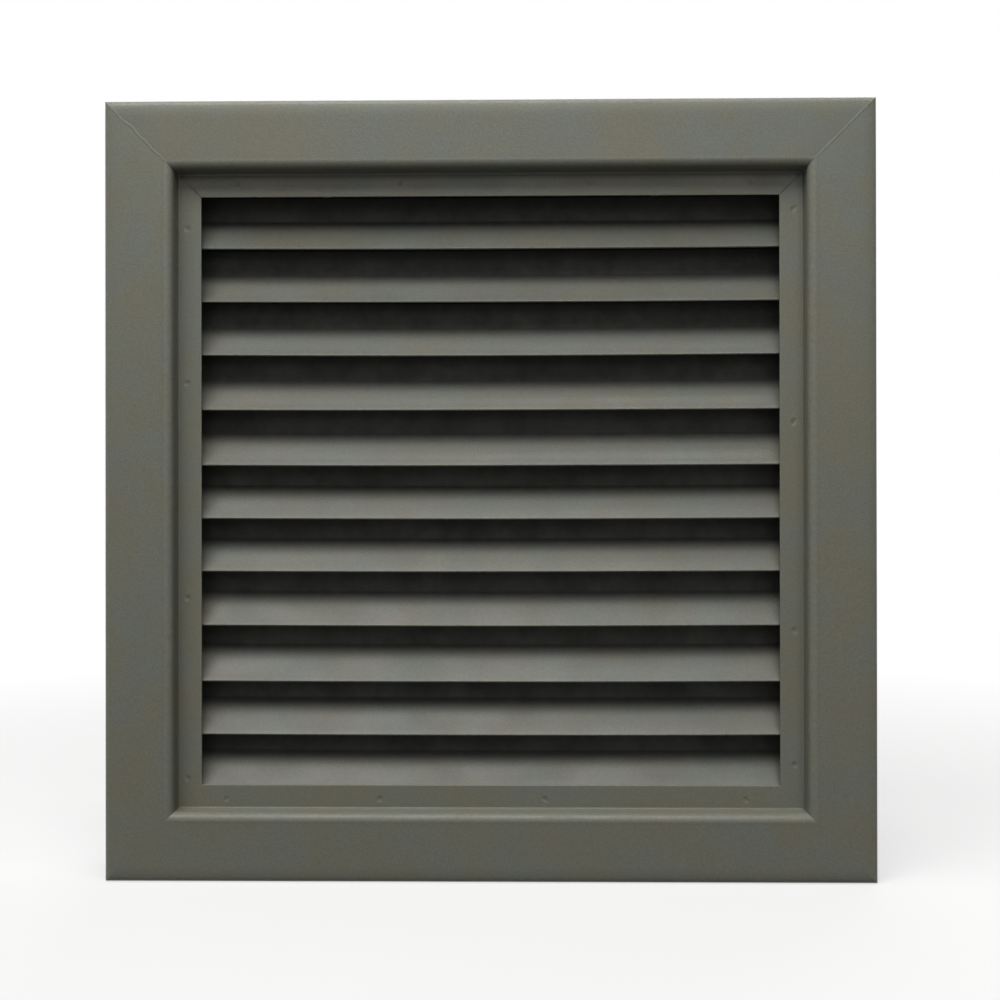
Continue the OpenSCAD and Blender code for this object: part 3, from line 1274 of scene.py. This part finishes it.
@dataclass(frozen=True)
class BladeBank:
    """Bank of folded sheet blades, each a stem with two legs that slope down to the faces."""

    enamel: Enamel
    sheet: float = 1.0 * MM
    ply_gap: float = 0.02 * MM
    leg_angle: float = 54.0
    flare_angle: float = 9.0
    flare_radius: float = 35 * MM
    bend_radius: float = 1.5 * MM
    end_gap: float = 0.3 * MM
    edge_round: float = 0.3 * MM
    step: float = 1.4 * MM
    stem_step: float = 2.2 * MM
    station_step: float = 6.5 * MM
    sag: float = 0.5 * MM
    twist: float = 0.12 * MM
    # Heights over the lower edge between which the painted shadow of the blade above fades in towards the
    # stem.
    painted_shadow_top: float = 16.3 * MM
    painted_shadow_foot: float = 7.5 * MM
    flare_changes: tuple[float, ...] = (-1.0, -1.5, -1.5, -0.5, 1.5, 1.0, 0.0, 0.5, 2.5, 2.0, 1.5)

    def half_path(self, pen: SheetPen, flare: float, leg: float, rise: float) -> SheetPen:
        """Draws the front half from its lower edge to the top of the stem.

        Args:
            pen: Pen that stands at the lower edge.
            flare: Angle of the flare.
            leg: Length of the flat part of the leg.
            rise: Height of the stem over its bend.

        Returns:
            The pen.
        """
        pen.turn(flare, self.flare_radius)
        pen.run(leg, self.step)
        pen.turn(90 - self.leg_angle, self.bend_radius)
        return pen.run(rise, self.stem_step)

    def strip(self, depth: float, height: float, change: float) -> Strip:
        """Section of a blade in Y and in height over its lower edges.

        Args:
            depth: Distance of the lower edges from the middle of the door.
            height: Height of the blade.
            change: Difference of the front flare from the plain one, in degrees.

        Returns:
            The section.
        """
        slope = math.radians(self.leg_angle)
        foot = math.radians(self.leg_angle - self.flare_angle)
        arc = self.flare_radius
        reach = depth - self.sheet - self.bend_radius * (1 - math.sin(slope))
        leg = (reach - arc * (math.sin(slope) - math.sin(foot))) / math.cos(slope)
        stem_foot = (self.sheet * math.cos(foot) + arc * (math.cos(foot) - math.cos(slope))
                     + leg * math.sin(slope) + self.bend_radius * math.cos(slope))
        rise = height - self.sheet - stem_foot
        front_flare = self.flare_angle + change
        pen = SheetPen((0, 0), self.leg_angle - front_flare, self.sheet)
        self.half_path(pen, front_flare, leg, rise)
        stem = (self.sheet + self.ply_gap) / 2
        pen.shift(-stem - pen.points[-1][0], height - self.sheet - pen.points[-1][1])
        pen.turn(-180, self.ply_gap / 2)
        pen.run(rise, self.stem_step)
        pen.turn(90 - self.leg_angle, self.bend_radius)
        pen.run(leg, self.step)
        pen.turn(self.flare_angle, self.flare_radius)
        plain = pen.strip(self.edge_round)
        # Painted shadow: the nook mask rises from the foot height to the top height, so the upper legs and
        # the stem are painted dark where the blade above shades them; the crown's lightening is taken out
        # there.
        deep = np.clip((plain.middle[:, 1] - self.painted_shadow_foot) / (self.painted_shadow_top - self.painted_shadow_foot), 0, 1)
        deep = deep**2 * (3 - 2 * deep)
        return Strip(plain.middle, plain.normal, plain.half, plain.crown * (1 - deep)[:, None],
                     np.repeat(deep[:, None], 2, axis=1))

    def build(self, material: bpy.types.Material) -> None:
        """Builds the blades from the top down and dresses them.

        Args:
            material: Their enamel.
        """
        for number, change in enumerate(self.flare_changes, start=1):
            name = f"blade_{number:02d}"
            low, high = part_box(name)
            strip = self.strip(high.y, high.z - low.z, change)
            half = high.x - self.end_gap
            stations = np.linspace(-1, 1, 2 * round(half / self.station_step) + 1)

            def place(share: np.ndarray, through: np.ndarray, rise: np.ndarray, low: Vector = low,
                      half: float = half, number: int = number) -> np.ndarray:
                """Places points of one blade, which sags a little between its ends.

                Args:
                    share: Stations along the blade, from -1 to 1.
                    through: Places along Y.
                    rise: Heights over the lower edges.
                    low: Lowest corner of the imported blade.
                    half: Half the blade's length.
                    number: Number of the blade from the top.

                Returns:
                    The points.
                """
                x = share * half
                uneven = ripple(x, np.full(1, number * MM), number, 0.12)
                drop = self.sag * (1 - share**2) + self.twist * uneven
                x, through, rise, drop = np.broadcast_arrays(x, through, rise, drop)
                return np.stack([x, through, low.z + rise - drop], axis=-1)

            piece = sweep(f"{name}_folded", strip, stations, place)
            dress(piece, material, self.enamel.slot, name)


@dataclass(frozen=True)
class ScrewSet:
    """Pan head sheet metal screws that hold the rear trim to the core."""

    finish: PlatedSteel
    thread: float = 4.2 * MM
    root: float = 3.3 * MM
    length: float = 9.5 * MM
    thread_pitch: float = 1.4 * MM
    point: float = 1.6 * MM
    head: float = 7.2 * MM
    head_height: float = 2.4 * MM
    head_round: float = 0.9 * MM
    drive_length: float = 4.4 * MM
    drive_width: float = 1.1 * MM
    drive_depth: float = 1.3 * MM
    around: int = 40
    turns_seed: int = 8

    def shank(self) -> bpy.types.Object:
        """Threaded shank below the head, whose surface rises and falls along a helix.

        Returns:
            The shank.
        """
        rows = 72
        heights = np.linspace(0, -self.length, rows)
        angles = np.linspace(0, 2 * math.pi, self.around, endpoint=False)
        phase = (heights[:, None] / self.thread_pitch + angles[None, :] / (2 * math.pi)) % 1.0
        ridge = np.clip(1 - np.abs(phase - 0.5) * 4, 0, 1)
        radius = self.root / 2 + (self.thread - self.root) / 2 * ridge
        to_end = (self.length + heights)[:, None]
        radius = radius * np.clip(0.45 + 0.55 * to_end / self.point, 0, 1)
        points = np.stack([radius * np.cos(angles), radius * np.sin(angles),
                           np.broadcast_to(heights[:, None], radius.shape)], axis=-1).reshape(-1, 3)
        skin = [
            (r * self.around + k, r * self.around + (k + 1) % self.around,
             (r + 1) * self.around + (k + 1) % self.around, (r + 1) * self.around + k)
            for r in range(rows - 1) for k in range(self.around)
        ]
        caps = [tuple(range(self.around)), tuple(range((rows - 1) * self.around, rows * self.around))]
        mesh = bpy.data.meshes.new("shank")
        mesh.from_pydata(points.tolist(), [], skin + caps)
        return finish_mesh("shank", mesh)

    def head_piece(self) -> bpy.types.Object:
        """Pan head with its cross recess, seated at height 0.

        Returns:
            The head.
        """
        side = self.head_height - self.head_round
        dome = [
            (self.head / 2 - self.head_round * (1 - math.cos(angle)),
             side + self.head_round * math.sin(angle))
            for angle in np.radians(np.arange(0, 91, 15))
        ]
        foot = [(0, 0), (self.head / 2 - 0.15 * MM, 0), (self.head / 2, 0.15 * MM)]
        profile = [*foot, *dome, (0, self.head_height)]
        head = lathe("head", profile, 64)
        cutters = []
        for number in range(2):
            mesh = bpy.data.meshes.new("drive")
            mouth = (self.drive_length / 2, self.drive_width / 2)
            point = (self.drive_length / 4, self.drive_width / 3)
            ends = (
                (mouth, self.head_height + self.drive_depth / 4),
                (point, self.head_height - self.drive_depth),
            )
            signs = ((-1, -1), (1, -1), (1, 1), (-1, 1))
            corners = [(sx * x, sy * y, z) for (x, y), z in ends for sx, sy in signs]
            sides = [(k, (k + 1) % 4, (k + 1) % 4 + 4, k + 4) for k in range(4)]
            mesh.from_pydata(corners, [], [(0, 1, 2, 3), (4, 5, 6, 7), *sides])
            cutter = finish_mesh(f"drive_{number}", mesh)
            cutter.rotation_euler = (0, 0, number * math.pi / 2)
            cutters.append(cutter)
        cut_away(head, cutters)
        return head

    def build(self, material: bpy.types.Material) -> None:
        """Builds one screw, repeats it at every hole as one piece and dresses it.

        Args:
            material: The screws' plating.
        """
        low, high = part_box("trim_screws")
        seat = high.y - self.head_height
        draw = np.random.default_rng(self.turns_seed)
        parts = [self.head_piece(), self.shank()]
        joined = bmesh.new()
        for side in Side:
            for along in SCREWS.places(side):
                where = OPENING.point(side, np.array(along), np.array(-SCREWS.inset), np.array(seat))
                turned = draw.uniform(0, 2 * math.pi)
                for part in parts:
                    copy = part.data.copy()
                    co = np.zeros(len(copy.vertices) * 3)
                    copy.vertices.foreach_get("co", co)
                    x, y, z = co.reshape(-1, 3).T
                    spun = np.stack([x * math.cos(turned) - y * math.sin(turned),
                                     z, -(x * math.sin(turned) + y * math.cos(turned))], axis=-1)
                    copy.vertices.foreach_set("co", (spun + where).ravel())
                    joined.from_mesh(copy)
                    bpy.data.meshes.remove(copy)
        mesh = bpy.data.meshes.new("trim_screws")
        joined.to_mesh(mesh)
        joined.free()
        for part in parts:
            bpy.data.objects.remove(part)
        co = np.zeros(len(mesh.vertices) * 3)
        mesh.vertices.foreach_get("co", co)
        out_of_seat = co.reshape(-1, 3)[:, 1] - seat
        set_mask(mesh, CROWN, np.clip(out_of_seat / self.head_height, 0, 1) ** 2)
        # Painted shade under the head, where it sits on the trim.
        set_mask(mesh, NOOK, np.clip(1 - np.abs(out_of_seat) / (0.5 * MM), 0, 1))
        dress(finish_mesh("trim_screw_set", mesh), material, self.finish.slot, "trim_screws")


# Surroundings


@dataclass(frozen=True)
class SoftBox:
    """Rectangular soft light that faces a point."""

    name: str
    place: tuple[float, float, float]
    aim: tuple[float, float, float]
    width: float
    height: float
    power: float
    colour: Colour = (1.0, 1.0, 1.0)

    def build(self) -> None:
        """Hangs the light."""
        light = bpy.data.lights.new(self.name, "AREA")
        light.shape = "RECTANGLE"
        light.size, light.size_y = self.width, self.height
        light.energy = self.power
        light.color = self.colour
        lamp = bpy.data.objects.new(self.name, light)
        lamp.location = self.place
        lamp.rotation_euler = (Vector(self.aim) - Vector(self.place)).to_track_quat("-Z", "Y").to_euler()
        bpy.context.scene.collection.objects.link(lamp)


@dataclass(frozen=True)
class Viewpoint:
    """The photograph's viewing angle."""

    target: tuple[float, float, float] = (5.0 * MM, -26.25 * MM, -4.5 * MM)
    distance: float = 600 * MM
    yaw: float = -0.90
    pitch: float = 0.13
    roll: float = 0.08
    lens: float = 46.8
    sensor: float = 36.0

    def build(self) -> None:
        """Sets the camera up."""
        camera = bpy.data.cameras.new("camera")
        camera.lens, camera.sensor_width = self.lens, self.sensor
        yaw, pitch = math.radians(self.yaw), math.radians(self.pitch)
        ahead = Vector((math.sin(yaw) * math.cos(pitch), math.cos(yaw) * math.cos(pitch), math.sin(pitch)))
        stand = bpy.data.objects.new("camera", camera)
        stand.location = Vector(self.target) - ahead * self.distance
        turn = ahead.to_track_quat("-Z", "Y").to_matrix().to_4x4()
        roll = math.radians(self.roll)
        stand.rotation_euler = turn.to_euler()
        stand.rotation_euler.rotate_axis("Z", -roll)
        bpy.context.scene.collection.objects.link(stand)
        bpy.context.scene.camera = stand


@dataclass(frozen=True)
class Studio:
    """Pale floor, white surroundings and soft light."""

    floor_reach: float = 4.0
    floor_colour: Colour = (0.8, 0.8, 0.79)
    floor_shade: Colour = (0.1, 0.1, 0.1)
    floor_glow: float = 0.55
    floor_near: float = 0.35
    floor_far: float = 0.9
    ambient: float = 0.1
    lights: tuple[SoftBox, ...] = (
        SoftBox("key", (-0.2, -0.72, 1.08), (0, 0, 0.0), 1.2, 0.66, 17.0),
        SoftBox("ceiling_strip", (-0.06, -0.2, 1.3), (0, 0, 0.0), 0.9, 0.16, 5.0),
        SoftBox("front_fill", (0.1, -1.9, 0.75), (0, 0, 0.0), 1.6, 0.7, 5.0),
        SoftBox("rear_fill", (0.3, 1.1, 1.2), (0, 0, 0.0), 1.4, 0.8, 10.0),
    )

    @staticmethod
    def seen(bench: Bench) -> bpy.types.NodeSocket:
        """Mask of the rays that see the white surroundings.

        Args:
            bench: Bench of the material.

        Returns:
            The mask.
        """
        path = bench.add("LightPath")
        mask: object = 0.0
        for kind in Rays:
            mask = bench.math("MAXIMUM", mask, path.outputs[kind.value])
        return mask

    def build_world(self) -> None:
        """Makes the world: white where it is seen, dim where it lights."""
        world = bpy.data.worlds.new("surroundings")
        world.use_nodes = True
        bench = Bench(world.node_tree)
        background = world.node_tree.nodes["Background"]
        background.inputs["Color"].default_value = (1, 1, 1, 1)
        strength = bench.spread(self.seen(bench), 0.0, 1.0, (self.ambient, 1.0))
        bench.put(background.inputs["Strength"], strength)
        bpy.context.scene.world = world

    def build_floor(self) -> None:
        """Lays the floor under the louver's lower edge, shaded near it and plain white further off."""
        level = OPENING.outer[0].z
        reach = self.floor_reach
        mesh = bpy.data.meshes.new("floor")
        mesh.from_pydata([(-reach, -reach, level), (reach, -reach, level), (reach, reach, level),
                          (-reach, reach, level)], [], [(0, 1, 2, 3)])
        floor = bpy.data.objects.new("floor", mesh)
        bpy.context.scene.collection.objects.link(floor)
        material = bpy.data.materials.new("floor")
        material.use_nodes = True
        tree = material.node_tree
        tree.nodes.remove(tree.nodes["Principled BSDF"])
        bench = Bench(tree)
        seen = bench.feed(bench.add("BsdfDiffuse"), Color=self.floor_colour)
        unseen = bench.feed(bench.add("BsdfDiffuse"), Color=self.floor_shade)
        glow = bench.feed(bench.add("Emission"), Color=(1.0, 1.0, 1.0), Strength=1.0)
        away = bench.add("VectorMath", operation="LENGTH")
        bench.put(away.inputs[0], bench.add("TexCoord").outputs["Object"])
        pale = bench.add("MixShader")
        bench.put(pale.inputs[0], bench.spread(away.outputs["Value"], self.floor_near, self.floor_far,
                                               (self.floor_glow, 1.0)))
        bench.put(pale.inputs[1], seen.outputs[0])
        bench.put(pale.inputs[2], glow.outputs[0])
        choice = bench.add("MixShader")
        bench.put(choice.inputs[0], self.seen(bench))
        bench.put(choice.inputs[1], unseen.outputs[0])
        bench.put(choice.inputs[2], pale.outputs[0])
        bench.put(tree.nodes["Material Output"].inputs["Surface"], choice.outputs[0])
        mesh.materials.append(material)

    def build(self) -> None:
        """Makes the surroundings and hangs the lights."""
        self.build_world()
        self.build_floor()
        for light in self.lights:
            light.build()
        bpy.context.scene.view_settings.view_transform = "Standard"


def main() -> None:
    """Builds and dresses the louver and sets the picture up."""
    logging.basicConfig(level=logging.INFO, format="%(message)s")
    effects = Effects()
    trim_enamel = Enamel(
        "trim_enamel", "trim_enamel",
        chips=(
            Chip((0.1665, -0.0262, -0.1138), 0.75 * MM, (0.42, 0.4, 0.36)),
            Chip((-0.1225, -0.0152, 0.1447), 0.9 * MM, (0.09, 0.03, 0.02)),
        ),
    )
    # Same enamel as the trims with a darker base and tints, which paints the shade falling on the blades;
    # its large share of painted shade darkens them deep between each other.
    blade_enamel = Enamel(
        "blade_enamel", "blade_enamel", base=(0.113, 0.114, 0.093), warm=(0.123, 0.111, 0.08),
        cool=(0.104, 0.121, 0.112), painted_shade_amount=0.95, wear_and_highlight=0.25,
    )
    # The core's inner bends get a larger share of painted shade.
    core_enamel = Enamel("core_enamel", "core_enamel", base=(0.1, 0.1, 0.082), painted_shade_amount=0.5, dusting=0.2)
    zinc = PlatedSteel()
    enamels = {enamel.name: enamel.make(effects) for enamel in (trim_enamel, blade_enamel, core_enamel)}
    front = TrimFrame(
        Face.FRONT, trim_enamel,
        spots={
            Side.HEAD: (-0.405, -0.144, 0.16, 0.417),
            Side.SILL: (-0.422, -0.176, 0.088, 0.408),
            Side.LEFT: (-0.453, -0.169, 0.17, 0.414),
            Side.RIGHT: (-0.43, -0.22, 0.107, 0.441),
        },
    )
    front.build(enamels["trim_enamel"])
    TrimFrame(Face.REAR, trim_enamel, screwed=True).build(enamels["trim_enamel"])
    MitreWeld(Side.LEFT, 0.6 * MM, 1.4 * MM, seed=4).build(front, enamels["trim_enamel"])
    MitreWeld(Side.RIGHT, 0.15 * MM, 1.3 * MM, seed=9).build(front, enamels["trim_enamel"])
    Core(core_enamel).build(enamels["core_enamel"])
    BladeBank(blade_enamel).build(enamels["blade_enamel"])
    ScrewSet(zinc).build(zinc.make(effects))
    Viewpoint().build()
    Studio().build()


if __name__ == "__main__":
    main()
